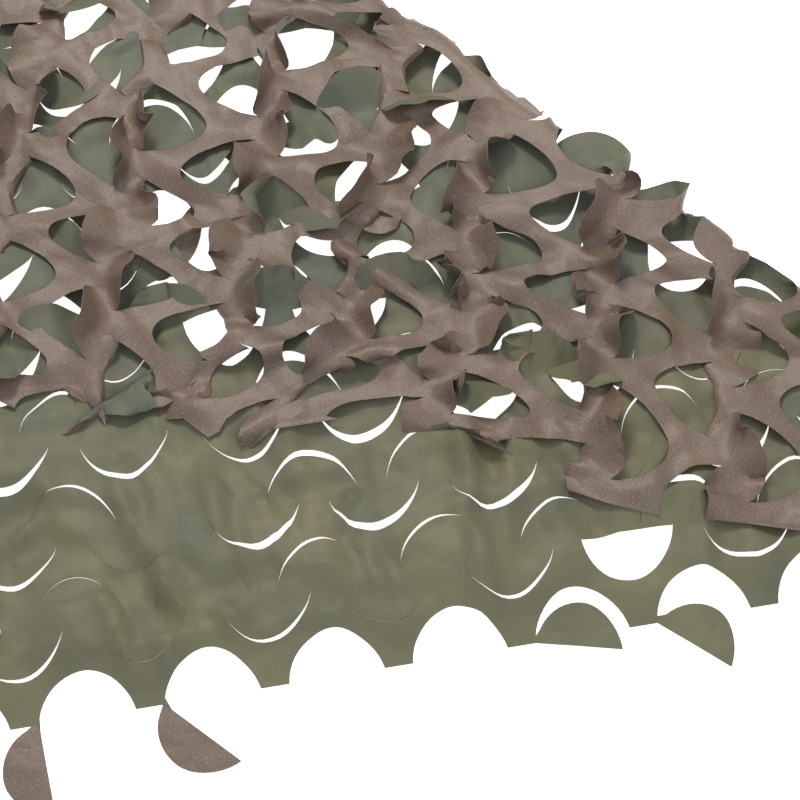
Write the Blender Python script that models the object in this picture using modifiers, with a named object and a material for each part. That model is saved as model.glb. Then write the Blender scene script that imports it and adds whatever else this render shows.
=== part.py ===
"""Camouflage net: a cut length of cloth, green on one face and brown on the other, with rows of
leaf-shaped slits. It lies on the floor green face up, and one corner is folded back over it on a slant,
so that half of it shows its brown face and hangs open. Metres, +Z up, +X along the length, the floor at Z = 0.

The cloth is drawn flat first, as it was cut: U runs along the rows of leaves and V across them. Each row has
half-round leaves above its line and, halfway between them, half-round leaves below it. Every leaf keeps its
straight side joined to the cloth. Then each point of the flat cloth is carried to where it lies."""

import math

import bmesh
import bpy
from mathutils import Vector, noise
from mathutils.geometry import delaunay_2d_cdt

# The cloth as cut
THICKNESS = 0.0012
LEAF_RADIUS = 0.040
LEAF_PITCH = 0.104
ROW_PITCH = 0.080
EDGE_U = 9.08 * LEAF_PITCH  # the side edge, cut through the leaves of every row
NARROW = {"left": 0.05, "right": 0.20}  # how much a leaf draws in on each side towards its tip
ARC_STEPS = 6  # straight lengths in a half-round cut
GRID = 0.040  # spacing of the points between the cuts

# How the bottom layer lies: where its first leaf is, and how far apart and which way its leaves and rows run
BOTTOM = {
    "origin": (-0.2550, -0.2872),
    "leaf_pitch": 0.1033, "leaf_bearing": 9.8,
    "row_pitch": 0.0845, "row_bearing": 97.9,
    "open_pitch": 0.0910, "open_from": 3.5,
    # how far each row lies back towards the hem, most of all on the left
    "sag": {0: 0.0, 1: 0.0060, 2: 0.0090, 3: 0.0065, 4: 0.0040, 5: 0.0},
    "sag_right": 0.35, "sag_leaves": (2.4, 4.6),
}
# Soft waves of the bottom layer, which begin past its flat hem, and how far it stands up beneath the top layer
WAVES = {"height": 0.012, "size": 0.10, "seed": 3.1, "base": 0.001, "hem": 0.050, "reach": 0.06}
UNDER_PILE = {"lift": 0.0045, "from_row": 2.8, "to_row": 3.8}
# The top layer is turned over, drawn together along its rows and pulled open across them
TOP = {
    "leaf": 5.0, "row": 9.0,
    "origin": (-0.2266, 0.3198),
    "leaf_pitch": 0.0861, "leaf_bearing": 263.6,
    "row_pitch": 0.1066, "row_bearing": 172.1,
}
SPREAD = 0.29  # the part of a row's slack by which its line and the cloth beside it move apart
LINE_REACH = 0.012  # how far from a row's line the cloth follows it
WARP = {"shift": 0.022, "size": 0.12}  # how unevenly the top layer is pulled open
# How far the side edge of the top layer slips forward at each row
FRONT_SLIP = {3: 0.020, 4: 0.024, 5: 0.020, 6: -0.014, 7: -0.012, 8: -0.030, 9: -0.010, 10: 0.0}
FRONT_SHIFT = {3: 0.024, 4: 0.024, 5: 0.018, 6: -0.006, 7: -0.052, 8: -0.024, 9: -0.010, 10: 0.0}  # and sideways
FRONT_REACH = 0.13
# How high the top layer lies: its long swells, its short ones, and how it sinks towards its front
LIE = {
    "height": 0.019, "long": 0.010, "long_size": 0.13, "long_seed": 7.7,
    "short": 0.004, "short_size": 0.05, "short_seed": 1.2,
    "front_share": 0.40, "front_reach": 0.09, "least": 0.0065,
    "between_leaves": 0.007, "between_size": 0.2, "between_seed": 5.0,
}
APART = 0.004  # how far the top layer keeps off the bottom one
# Small tugs on each layer: the row and leaf that each is at, and how far it goes, in mm
BOTTOM_TUGS = [
    {"row": 3, "leaf": 4.0, "east": 0, "north": -12},
    {"row": 4, "leaf": 1.0, "east": -4, "north": 12},
    {"row": 4, "leaf": 2.0, "east": -11, "north": 5},
    {"row": 4, "leaf": 4.5, "east": 0, "north": -12},
    {"row": 5, "leaf": 1.0, "east": 0, "north": -11},
    {"row": 5, "leaf": 2.0, "east": -11, "north": 8},
    {"row": 5, "leaf": 3.0, "east": -9, "north": 0},
    {"row": 6, "leaf": 1.2, "east": 7, "north": 10},
    {"row": 6, "leaf": 2.0, "east": -18, "north": -4},
    {"row": 7, "leaf": 0.5, "east": -11, "north": -13},
]
TOP_TUGS = [
    {"row": 10, "leaf": 4.5, "east": -7, "north": 19},
    {"row": 10, "leaf": 6.5, "east": -12, "north": 0},
    {"row": 9, "leaf": 4.5, "east": -4, "north": 19},
    {"row": 9, "leaf": 5.2, "east": -2, "north": 13},
    {"row": 9, "leaf": 6.2, "east": -4, "north": -4},
    {"row": 9, "leaf": 7.0, "east": -6, "north": 8},
    {"row": 9, "leaf": 8.0, "east": 10, "north": -2},
    {"row": 8, "leaf": 4.6, "east": -8, "north": 23},
    {"row": 8, "leaf": 5.2, "east": 3, "north": 12},
    {"row": 8, "leaf": 6.2, "east": -3, "north": -5},
    {"row": 8, "leaf": 7.2, "east": -9, "north": 11},
    {"row": 8, "leaf": 8.1, "east": 14, "north": -4},
    {"row": 7, "leaf": 5.0, "east": -6, "north": 12},
    {"row": 7, "leaf": 6.0, "east": -6, "north": -14},
    {"row": 7, "leaf": 7.0, "east": 2, "north": 8},
    {"row": 7, "leaf": 8.2, "east": -3, "north": 2},
    {"row": 6, "leaf": 5.5, "east": -14, "north": 14},
    {"row": 6, "leaf": 6.5, "east": -10, "north": -3},
    {"row": 6, "leaf": 7.5, "east": 0, "north": -4},
    {"row": 6, "leaf": 8.5, "east": -8, "north": 8},
    {"row": 5, "leaf": 6.4, "east": -12, "north": 13},
    {"row": 5, "leaf": 7.2, "east": -3, "north": -2},
    {"row": 5, "leaf": 8.2, "east": 7, "north": 12},
    {"row": 4, "leaf": 7.2, "east": -8, "north": 20},
    {"row": 4, "leaf": 8.2, "east": -2, "north": 10},
]
TUG = {"reach": 0.055, "ease": 0.25}
# The fold, from its near end to its far one: (leaf, row) in the flat cloth, and the place on the floor
FOLD = {
    "near": (6.50, 3.28), "far": (3.57, 7.00),
    "near_xy": (0.348, 0.087), "far_xy": (-0.008, 0.384),
    "radius": 0.011, "settle": 0.085, "flat_from": 0.05, "top_from": 0.07,
}
TRIM_X, TRIM_Y = -0.400, 0.455  # where the pile is cut off plainly, on the left and at the back
CENTRE = (0.1227, 0.0424)  # the middle of the pile, which becomes the origin


def direction(bearing):
    return Vector((math.cos(math.radians(bearing)), math.sin(math.radians(bearing))))


def smooth(x):
    x = min(max(x, 0.0), 1.0)
    return x * x * (3 - 2 * x)


def scatter(row, leaf, side, kind):
    """A steady number from 0 to 1 for one leaf."""
    x = math.sin(row * 12.99 + leaf * 78.23 + side * 37.72 + kind * 5.37) * 43758.5453
    return x - math.floor(x)


# --- the fold in the flat cloth: how far along it, and how far past it, a point is

fold_near = Vector((FOLD["near"][0] * LEAF_PITCH, FOLD["near"][1] * ROW_PITCH))
fold_far = Vector((FOLD["far"][0] * LEAF_PITCH, FOLD["far"][1] * ROW_PITCH))
fold_run = (fold_far - fold_near).length
fold_along = (fold_far - fold_near) / fold_run
fold_past = Vector((fold_along.y, -fold_along.x))
fold_half = FOLD["radius"] * math.pi / 2  # half the cloth that the bend takes
fold_start = Vector(FOLD["near_xy"])
fold_step = (Vector(FOLD["far_xy"]) - fold_start) / fold_run
fold_out = Vector((fold_step.y, -fold_step.x)).normalized()


def past_fold(u, v):
    return (Vector((u, v)) - fold_near).dot(fold_past)


def row_rise(layer, row):
    """How far up the rows a row lies, as the cloth is spread."""
    if layer is TOP:
        return (row - TOP["row"]) * TOP["row_pitch"]
    tight = min(row, BOTTOM["open_from"])
    return tight * BOTTOM["row_pitch"] + (row - tight) * BOTTOM["open_pitch"]


def on_floor(layer, u, rise):
    leaf = u / LEAF_PITCH - layer.get("leaf", 0.0)
    place = Vector(layer["origin"]) + direction(layer["leaf_bearing"]) * leaf * layer["leaf_pitch"]
    return place + direction(layer["row_bearing"]) * rise


def chord_rise(layer, u, row):
    """Where a row's line runs: the necks pull it down at its upper leaves and up at its lower ones."""
    slack = row_rise(layer, row + 0.5) - row_rise(layer, row - 0.5) - ROW_PITCH
    return row_rise(layer, row) - slack * SPREAD * math.cos(2 * math.pi * u / LEAF_PITCH)


def web_rise(layer, u, v):
    """Where the cloth between two rows of leaves lies."""
    row = v / ROW_PITCH
    lower = math.floor(row)
    slack = row_rise(layer, lower + 1) - row_rise(layer, lower) - ROW_PITCH
    middle = (row_rise(layer, lower) + row_rise(layer, lower + 1)) / 2
    rise = middle + slack * SPREAD * math.cos(2 * math.pi * u / LEAF_PITCH) + (row - lower - 0.5) * ROW_PITCH
    near_row = round(row)
    off_line = v - near_row * ROW_PITCH
    blend = smooth(abs(off_line) / LINE_REACH)
    return rise * blend + (chord_rise(layer, u, near_row) + off_line) * (1 - blend)


def swell(x, y, size, seed):
    return noise.noise(Vector((x / size, y / size, seed)))


def bottom_height(x, y):
    wave = WAVES["height"] * swell(x, y, WAVES["size"], WAVES["seed"]) + WAVES["base"]
    off = (Vector((x, y)) - Vector(BOTTOM["origin"])).dot(direction(BOTTOM["row_bearing"]))
    return max(0.0, wave) * smooth((off - WAVES["hem"]) / WAVES["reach"])


def under_pile(v):
    rows = UNDER_PILE["to_row"] - UNDER_PILE["from_row"]
    return UNDER_PILE["lift"] * smooth((v / ROW_PITCH - UNDER_PILE["from_row"]) / rows)


def top_height(x, y, u):
    lie = LIE["height"] + LIE["long"] * swell(x, y, LIE["long_size"], LIE["long_seed"])
    lie += LIE["short"] * swell(x, y, LIE["short_size"], LIE["short_seed"])
    front = smooth((EDGE_U - u) / LIE["front_reach"])
    return max(LIE["least"], lie * (LIE["front_share"] + (1 - LIE["front_share"]) * front))


def between_leaves(x, y, u):
    """How the top layer rises at its leaves and dips between them."""
    part = 0.5 + 0.8 * swell(x, y, LIE["between_size"], LIE["between_seed"])
    return LIE["between_leaves"] * math.cos(2 * math.pi * u / LEAF_PITCH) * part


def warp(x, y):
    size = WARP["size"]
    return Vector((swell(x, y, size, 11.3), swell(x, y, size, 23.9))) * WARP["shift"]


def by_row(values, v):
    """The value of a row table between its rows."""
    row = min(max(v / ROW_PITCH, min(values)), max(values))
    lower = min(math.floor(row), max(values) - 1)
    part = smooth(row - lower)
    return values[lower] * (1 - part) + values[lower + 1] * part


def sag(u, v):
    first, last = BOTTOM["sag_leaves"]
    right = smooth((u / LEAF_PITCH - first) / (last - first))
    return by_row(BOTTOM["sag"], v) * (1 - right * (1 - BOTTOM["sag_right"]))


def tugged(tugs, u, v):
    """The pull of the tugs near one point of the cloth."""
    total = Vector((0.0, 0.0))
    weight = TUG["ease"]
    for tug in tugs:
        off = Vector((u - tug["leaf"] * LEAF_PITCH, v - (tug["row"] + 0.1) * ROW_PITCH))
        near = math.exp(-off.length_squared / TUG["reach"] ** 2)
        total += Vector((tug["east"], tug["north"])) * near / 1000
        weight += near
    return total / weight


def lay(u, v, rise_of):
    """The place of one point of the cloth's middle surface. rise_of says how its part of the cloth spreads."""
    past = past_fold(u, v)
    layer = TOP if past > 0 else BOTTOM
    side = 1 if past > 0 else -1
    away = abs(past)
    into_bend = max(0.0, fold_half - away)
    clear = Vector((u, v)) + fold_past * side * into_bend
    root = Vector((u, v)) - fold_past * (past - side * fold_half)
    run = (root - fold_near).dot(fold_along)
    meet = fold_start + fold_step * run
    level = on_floor(layer, root.x, row_rise(layer, root.y / ROW_PITCH))
    pull = math.exp(-max(0.0, away - fold_half) / FOLD["settle"])
    place = on_floor(layer, clear.x, rise_of(layer, clear.x, clear.y)) + (meet - level) * pull
    x, y = place
    if layer is TOP:
        settle = smooth((away - fold_half) / FOLD["top_from"])
        z = 2 * FOLD["radius"] * (1 - settle) + (top_height(x, y, u) + between_leaves(x, y, u)) * settle
        to_front = smooth((u - EDGE_U) / FRONT_REACH + 1)
        place += warp(x, y) * settle
        place += direction(TOP["leaf_bearing"]) * by_row(FRONT_SLIP, v) * to_front
        place -= direction(TOP["row_bearing"]) * by_row(FRONT_SHIFT, v) * to_front
        place += tugged(TOP_TUGS, u, v) * settle
        least = bottom_height(place.x, place.y) + APART
        z += (max(z, least) - z) * settle
    else:
        flat_part = smooth((away - fold_half) / FOLD["flat_from"])
        z = (bottom_height(x, y) + under_pile(v)) * flat_part
        place -= direction(BOTTOM["row_bearing"]) * sag(u, v) * flat_part
        place += tugged(BOTTOM_TUGS, u, v) * flat_part
    if into_bend > 0:
        turn = math.pi / 2 + side * (math.pi / 2 - into_bend / FOLD["radius"])
        place += fold_out * FOLD["radius"] * math.sin(turn)
        z = FOLD["radius"] * (1 - math.cos(turn))
    return Vector((place.x, place.y, z + THICKNESS / 2))


# --- the leaves

# Loose leaves along the bottom hem, each held by its left corner: how far its straight side has swung round,
# whether it is turned over as well, and how long and how deep it is beside the others
HEM_LEAVES = {
    0: {"swing": -86.0, "over": True, "size": (1.0, 0.90)},
    1: {"swing": -46.5, "over": True, "size": (1.0, 0.85)},
    4: {"swing": -14.5, "over": False, "size": (0.82, 0.86)},
    5: {"swing": -45.0, "over": False, "size": (0.85, 0.88)},
}
HEM_LIFT = 0.004
HEM_NECK = math.radians(10)  # the part of its round edge by which a loose leaf still hangs on


def leaf_centre(leaf, row):
    return Vector((leaf * LEAF_PITCH, row * ROW_PITCH))


def letter(table, row, leaf, first):
    """The pose letter that a table gives a leaf, or None. Its rows count leaves in half steps from the first."""
    letters = table.get(row, "")
    at = round(2 * (leaf - first))
    return letters[at] if 0 <= at < len(letters) else None


NEAR_FOLD = -0.05  # every leaf from here on is cut


def leaf_is_cut(row, leaf):
    """Whether a leaf's gap is wide enough to be cut through. Leaves that lie shut are left whole."""
    if past_fold(*leaf_centre(leaf, row)) > NEAR_FOLD:
        return True
    return leaf_pose(row, leaf) is not LEAF_POSES["-"]


# How a leaf lies: how steeply it rises from its straight side, and how much further it turns by its tip.
# A leaf that is tucked under bends back at a depth of its own. One that lies in the cloth round it may fall
# short of the edge of its hole, on the left, on the right or on both.
LEAF_POSES = {
    "-": {"left": 0.0, "right": 0.0},  # shut, or all but shut
    "w": {"left": 0.13, "right": 0.18},  # wide open, though flat
    "q": {"left": 0.01, "right": 0.23},  # wide open on its right
    "O": {"left": 0.12, "right": 0.38},  # gaping on its right
    "C": {"left": 0.45, "right": 0.05},  # gaping on its left
    "Z": {"beyond": 0.002},  # left lying flat beyond the fold
    "P": {"rise": 0.04, "curl": -0.05},  # pressed flat
    "V": {"rise": 1.25, "rise_end": 0.05, "curl": 0.10},  # lifted at its far end
    "N": {"rise": 0.10, "rise_end": 1.20, "curl": 0.10},  # lifted at its near end
    "G": {"rise": 2.75, "curl": 0.15},  # turned right over
    "A": {"rise": 0.10, "curl": 0.15},  # ajar
    "F": {"rise": 0.22, "curl": -0.50},  # flat
    "L": {"rise": 0.50, "curl": 0.10},  # lifted
    "H": {"rise": 0.85, "curl": 0.30},  # half up
    "S": {"rise": 1.30, "curl": 0.15},  # standing
    "R": {"rise": 0.50, "curl": 3.60},  # rolled up
    "D": {"rise": -0.35, "curl": -0.20},  # drooping
    "T": {"tuck": 0.006},  # tucked under
    "U": {"tuck": 0.0020},  # tucked flat under the bottom layer
}
# Each row of the top layer, leaf by leaf from leaf 3 in half steps: upper and lower leaves by turns
TOP_LEAVES = {
    3: "TTTTTTTTTHTTPT",
    4: "TTTTTTSTSDTVPP",
    5: "TTTTTRHHHHHVPP",
    6: "TTFRFHHHHNLHPP",
    7: "TTFTTLSTTHHTPP",
    8: "SSFSSHNRLHTTPP",
    9: "TTDTTSSVLHHTGP",
    10: "TTTTFSSTSTHTPP",
}
# The same for the bottom layer, from leaf -0.5
BOTTOM_LEAVES = {
    1: "---------LUw--",
    2: "----qww-q---q-",
    3: "w----Aw-LLL--AA",
    4: "LA-LULUL---wA-U-",
    5: "AA-UULLU---Z",
    6: "-A-AqUALLA",
    7: "AAOCUAUAA",
    8: "-ALAUL",
}
TUCK_TURN = math.radians(168)
CREASE_GAP = 0.0015  # how far a tucked leaf's crease stops short of its edge
LEAF_FLAT = 0.008  # the part of a top leaf by its straight side that stays level with the cloth
LOOSE_SHARE = 0.55  # the share of the other bottom leaves that are lifted


def leaf_pose(row, leaf):
    if past_fold(*leaf_centre(leaf, row)) > 0:
        return LEAF_POSES[letter(TOP_LEAVES, row, leaf, 3) or "F"]
    other = "L" if scatter(row, leaf, 1, 1) < LOOSE_SHARE else "-"
    return LEAF_POSES[letter(BOTTOM_LEAVES, row, leaf, -0.5) or other]


def leaf_curve(pose, height, rise, flat):
    """How far out from its straight side, and how far up, a point of a leaf lies."""
    if flat > 0:
        out, up = leaf_curve(pose, max(0.0, height - flat), rise, 0.0)
        return out + min(height, flat), up
    if "tuck" in pose:
        bend = TUCK_TURN * pose["tuck"]
        turn = min(height, bend) / pose["tuck"]
        rest = max(0.0, height - bend)
        out = pose["tuck"] * math.sin(turn) + rest * math.cos(turn)
        return out, -pose["tuck"] * (1 - math.cos(turn)) - rest * math.sin(turn)
    turn = pose["curl"] / LEAF_RADIUS
    tip = rise + turn * height
    return (math.sin(tip) - math.sin(rise)) / turn, (math.cos(rise) - math.cos(tip)) / turn


def lay_beyond(u, v, row, leaf):
    """The place of a point of a leaf that stays on the floor where the cloth round it turns back."""
    centre = leaf_centre(leaf, row)
    before = centre - fold_past * (past_fold(*centre) + fold_half)

    def level(u, v):
        return on_floor(BOTTOM, u, chord_rise(BOTTOM, u, row) + v - centre.y)

    x, y = level(u, v) + lay(before.x, before.y, web_rise).xy - level(before.x, before.y)
    return Vector((x, y, THICKNESS / 2 + LEAF_POSES["Z"]["beyond"]))


BEND_CLEAR = 0.006  # a leaf whose middle is this near the bend goes round with it
STEP = 0.002  # how far apart the points are that give a leaf's directions


def lay_leaf(u, v, row, leaf, side):
    """The place of a point of a leaf, which bends about its straight side and not with the cloth round it."""
    centre = leaf_centre(leaf, row)
    past = past_fold(*centre)
    pose = leaf_pose(row, leaf)

    def line(layer, u, v):
        return chord_rise(layer, u, row) + v - centre.y

    if past < 0 and "beyond" in pose:
        return lay_beyond(u, v, row, leaf)
    if abs(past) < fold_half + BEND_CLEAR:
        return lay(u, v, line)
    layer = TOP if past > 0 else BOTTOM
    root = lay(u, centre.y, line)
    part = (u - centre.x) / (2 * LEAF_RADIUS) + 0.5
    if "left" in pose:
        short = pose["left"] * (1 - smooth(part)) + pose["right"] * smooth(part)
        return root.lerp(lay(u, v, web_rise), 1 - short)
    along = lay(u + STEP, centre.y, line) - lay(u - STEP, centre.y, line)
    across = lay(u, centre.y + STEP, line) - lay(u, centre.y - STEP, line)
    face = along.cross(across).normalized()
    if layer is TOP:
        face.negate()
    height = side * (v - centre.y)
    rise = pose.get("rise", 0.0)
    rise += (pose.get("rise_end", rise) - rise) * smooth(part)
    out, up = leaf_curve(pose, height, rise, LEAF_FLAT if layer is TOP else 0.0)
    place = root + across.normalized() * side * out + face * up
    place.z = max(place.z, THICKNESS / 2)
    return place


def lay_hem_leaf(u, v, leaf):
    """A loose leaf lies on the floor, swung about its left corner, or turned over about a line through it."""
    held = HEM_LEAVES[leaf]
    corner = Vector((leaf * LEAF_PITCH - LEAF_RADIUS, 0.0))
    at = lay(corner.x, 0.0, lambda layer, u, v: chord_rise(layer, u, 0) + v)
    off = Vector(((u - corner.x) * held["size"][0], v * held["size"][1]))
    bearing = math.degrees(math.atan2(off.y, off.x))
    if held["over"]:
        bearing = -bearing
    place = at.xy + direction(BOTTOM["leaf_bearing"] + held["swing"] + bearing) * off.length
    lift = HEM_LIFT * smooth(off.length / LEAF_RADIUS) * scatter(0, leaf, 1, 4)
    return Vector((place.x, place.y, lift + THICKNESS / 2))


# --- the flat cloth, cut up

def drawn_in(x, part):
    """The sides of a leaf draw in towards its tip, the right one more."""
    return x * (1 - part * (NARROW["right"] if x > 0 else NARROW["left"]))


def round_distance(off):
    """How far a point is from a leaf's middle, measured so that its round edge is at the leaf's radius."""
    part = min(abs(off.y) / LEAF_RADIUS, 1.0)
    return math.hypot(off.x * off.x / drawn_in(off.x, part) if off.x else 0.0, off.y)


def leaf_outline(row, leaf, side):
    centre = leaf_centre(leaf, row)
    turns = [math.pi * step / ARC_STEPS for step in range(1, ARC_STEPS)]
    loose = row == 0 and leaf in HEM_LEAVES
    if loose:
        turns[:0] = [HEM_NECK, 2 * HEM_NECK]
    round_edge = [Vector((drawn_in(-math.cos(turn), math.sin(turn)), side * math.sin(turn))) for turn in turns]
    outline = [Vector((-1, 0)), *round_edge, Vector((1, 0))]
    if loose:
        outline.append(Vector((2 * HEM_NECK - 1, 0)))
    return [centre + LEAF_RADIUS * point for point in outline]


BEND_LINES, BEND_STATIONS = 6, 41  # points round the fold's bend, and along it
BEND_FROM, BEND_TO = -0.34, 0.70  # the stretch of the fold's line that crosses the cloth
FIRST_LEAF, LAST_LEAF, LAST_ROW = -2, 10, 11
LEFT_U = -1.6 * LEAF_PITCH


def all_leaves():
    """(row, leaf, side) of every leaf of the cloth. The hem is cut along a row's line, so that row has upper ones only."""
    for row in range(LAST_ROW):
        for leaf in range(FIRST_LEAF, LAST_LEAF):
            yield row, leaf, 1
            if row > 0:
                yield row, leaf + 0.5, -1


def near_cut(point, leaf, gap):
    """Whether a point is nearer than the gap to a leaf's round edge or its straight side."""
    row, along, side = leaf
    off = point - leaf_centre(along, row)
    if off.length > LEAF_RADIUS + gap:
        return False
    return abs(off.y) < gap or (abs(round_distance(off) - LEAF_RADIUS) < gap and off.y * side > 0)


def free_points(leaves):
    """Points between the cuts, on a staggered grid, kept clear of every cut and of the fold's own lines."""
    rows = int(LAST_ROW * ROW_PITCH / GRID)
    gap = 0.4 * GRID
    for i in range(1, rows):
        for j in range(1, int((EDGE_U - LEFT_U) / GRID)):
            point = Vector((LEFT_U + (j + 0.5 * (i % 2)) * GRID, i * GRID))
            if abs(past_fold(*point)) < fold_half + gap or point.x > EDGE_U - gap:
                continue
            if not any(near_cut(point, leaf, gap) for leaf in leaves):
                yield point


def flat_pattern():
    """Triangles of the flat cloth with its cuts in it: points, faces, and for each face the leaf it is part of."""
    leaves = [leaf for leaf in all_leaves() if leaf[0] == 0 or leaf_is_cut(*leaf[:2])]
    points = [Vector(corner) for corner in (
        (LEFT_U, 0.0), (EDGE_U, 0.0), (EDGE_U, LAST_ROW * ROW_PITCH), (LEFT_U, LAST_ROW * ROW_PITCH))]
    faces = [[0, 1, 2, 3]]
    edges = []
    for leaf in leaves:
        first = len(points)
        points += leaf_outline(*leaf)
        faces.append(list(range(first, len(points)))[::-leaf[2]])
        if "tuck" in leaf_pose(*leaf[:2]):
            row, along, side = leaf
            flat = LEAF_FLAT if past_fold(*leaf_centre(along, row)) > 0 else 0.0
            for crease in (0.0, 0.5, 1.0) if flat else (0.5, 1.0):
                off = flat + TUCK_TURN * leaf_pose(row, along)["tuck"] * crease
                reach = math.sqrt(LEAF_RADIUS ** 2 - off ** 2) - CREASE_GAP
                ends = [Vector((drawn_in(end * reach, off / LEAF_RADIUS), side * off)) for end in (-1, 1)]
                edges.append((len(points), len(points) + 1))
                points += [leaf_centre(along, row) + end for end in ends]
    for line in range(BEND_LINES):
        past = fold_half * (2 * line / (BEND_LINES - 1) - 1)
        first = len(points)
        for station in range(BEND_STATIONS):
            run = BEND_FROM + (BEND_TO - BEND_FROM) * station / (BEND_STATIONS - 1)
            points.append(fold_near + fold_along * run + fold_past * past)
        edges += [(n, n + 1) for n in range(first, len(points) - 1)]
    points += list(free_points(leaves))
    made, _, tris, _, _, sources = delaunay_2d_cdt(points, edges, faces, 0, 1e-6)
    kept = []
    for tri, source in zip(tris, sources):
        if 0 in source:
            of_leaves = [n - 1 for n in source if n > 0]
            kept.append((tri, leaves[of_leaves[0]] if of_leaves else None))
    return made, kept


def surface():
    """The cloth's middle surface where it lies, with each cut a real gap."""
    made, kept = flat_pattern()
    mesh = bmesh.new()
    flat = mesh.verts.layers.float_vector.new("flat")
    corners = {}

    def vertex(n, leaf):
        u, v = made[n]
        if leaf is not None:
            row = leaf[0]
            on_line = abs(v - row * ROW_PITCH) < 1e-5
            off = Vector((u, v)) - leaf_centre(leaf[1], row)
            turn = math.pi - math.atan2(off.y, off.x)
            held = row == 0 and round_distance(off) > LEAF_RADIUS - 1e-4 and turn < HEM_NECK * 1.01
            if (on_line and row > 0) or held:
                leaf = None
        key = (n, leaf)
        if key not in corners:
            if leaf is None:
                place = lay(u, v, web_rise)
            elif leaf[0] == 0:
                place = lay_hem_leaf(u, v, leaf[1])
            else:
                place = lay_leaf(u, v, *leaf)
            corners[key] = mesh.verts.new(place)
            corners[key][flat] = (u, v, 0.0)
        return corners[key]

    for tri, leaf in kept:
        if leaf is not None and leaf[0] == 0 and leaf[1] not in HEM_LEAVES:
            continue
        face = [vertex(n, leaf) for n in tri]
        if len(set(face)) == 3:
            mesh.faces.new(face)
    return mesh


def trim(mesh):
    """Cuts the pile off plainly on the left and at the back, and drops the scraps that this frees."""
    for at, out in (((TRIM_X, 0, 0), (-1, 0, 0)), ((0, TRIM_Y, 0), (0, 1, 0))):
        everything = mesh.verts[:] + mesh.edges[:] + mesh.faces[:]
        bmesh.ops.bisect_plane(mesh, geom=everything, dist=1e-5, plane_co=at, plane_no=out, clear_outer=True)
    mesh.verts.ensure_lookup_table()
    unseen = set(mesh.verts)
    groups = []
    while unseen:
        group, edge = set(), [unseen.pop()]
        while edge:
            vert = edge.pop()
            group.add(vert)
            near = {e.other_vert(vert) for e in vert.link_edges if e.link_faces} & unseen
            unseen -= near
            edge += near
        groups.append(group)
    groups.sort(key=len)
    scraps = [vert for group in groups[:-1] for vert in group]
    bmesh.ops.delete(mesh, geom=scraps, context="VERTS")


def material(name, colour, roughness):
    made = bpy.data.materials.new(name)
    made.use_nodes = True
    shader = made.node_tree.nodes["Principled BSDF"]
    shader.inputs["Base Color"].default_value = (*colour, 1.0)
    shader.inputs["Roughness"].default_value = roughness
    return made


def main():
    for old in list(bpy.data.objects):
        bpy.data.objects.remove(old)
    collection = bpy.data.collections.new("camouflage net")
    bpy.context.scene.collection.children.link(collection)
    mesh = surface()
    trim(mesh)
    bmesh.ops.triangulate(mesh, faces=mesh.faces[:])
    bmesh.ops.translate(mesh, verts=mesh.verts[:], vec=(-CENTRE[0], -CENTRE[1], 0))
    data = bpy.data.meshes.new("net")
    mesh.to_mesh(data)
    mesh.free()
    net = bpy.data.objects.new("net", data)
    collection.objects.link(net)
    data.materials.append(material("green cloth", (0.13, 0.13, 0.085), 0.8))
    wall = net.modifiers.new("thickness", "SOLIDIFY")
    wall.thickness = THICKNESS
    wall.offset = 0


main()
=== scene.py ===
import math

import bmesh
import bpy
import numpy as np
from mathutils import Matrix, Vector, noise
from mathutils.geometry import delaunay_2d_cdt


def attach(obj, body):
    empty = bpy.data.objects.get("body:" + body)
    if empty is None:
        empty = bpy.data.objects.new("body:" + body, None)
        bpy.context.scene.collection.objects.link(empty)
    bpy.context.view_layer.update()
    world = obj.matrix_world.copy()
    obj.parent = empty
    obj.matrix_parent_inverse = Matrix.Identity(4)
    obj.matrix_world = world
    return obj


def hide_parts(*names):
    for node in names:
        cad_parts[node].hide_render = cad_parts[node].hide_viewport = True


# A camouflage net: one die-cut cloth, green on one face and brown on the other, folded back over itself.
# The cloth is drawn flat as it was cut, U along its rows of leaves and V across them, and then laid out.

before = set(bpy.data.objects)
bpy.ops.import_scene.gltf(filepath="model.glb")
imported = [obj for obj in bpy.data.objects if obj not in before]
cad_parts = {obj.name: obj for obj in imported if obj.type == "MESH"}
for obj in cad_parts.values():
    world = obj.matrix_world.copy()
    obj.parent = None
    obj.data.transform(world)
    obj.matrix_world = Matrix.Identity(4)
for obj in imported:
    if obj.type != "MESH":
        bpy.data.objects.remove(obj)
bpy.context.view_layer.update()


# how the cloth is cut, lengths in metres
cut = {
    "leafRadius": 0.040, "leafPitch": 0.104, "rowPitch": 0.080,
    "narrowLeft": 0.05, "narrowRight": 0.20,  # how much a leaf draws in towards its tip on each side
    "sideEdge": 9.08 * 0.104,  # the side edge runs through the leaves of every row
    "leftEnd": -1.6 * 0.104,
    "rows": 11, "firstLeaf": -2, "lastLeaf": 10,
    "arcSteps": 22,  # straight lengths in a half-round cut
    "chordParts": 16,  # points along a leaf's straight side, for each leaf pitch
    "chordClear": 0.3,  # how far those points keep from the leaf's corners, in their own spacing
    "grid": 0.0066,  # spacing of the points between the cuts
    "gridClear": 0.5,  # how far they keep from a cut, in their own spacing
    "sameLine": 1e-5, "sameEdge": 1e-4, "samePoint": 1e-6,  # how near counts as on it
}
leafRadius, leafPitch, rowPitch = cut["leafRadius"], cut["leafPitch"], cut["rowPitch"]
sideEdge = cut["sideEdge"]

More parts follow.
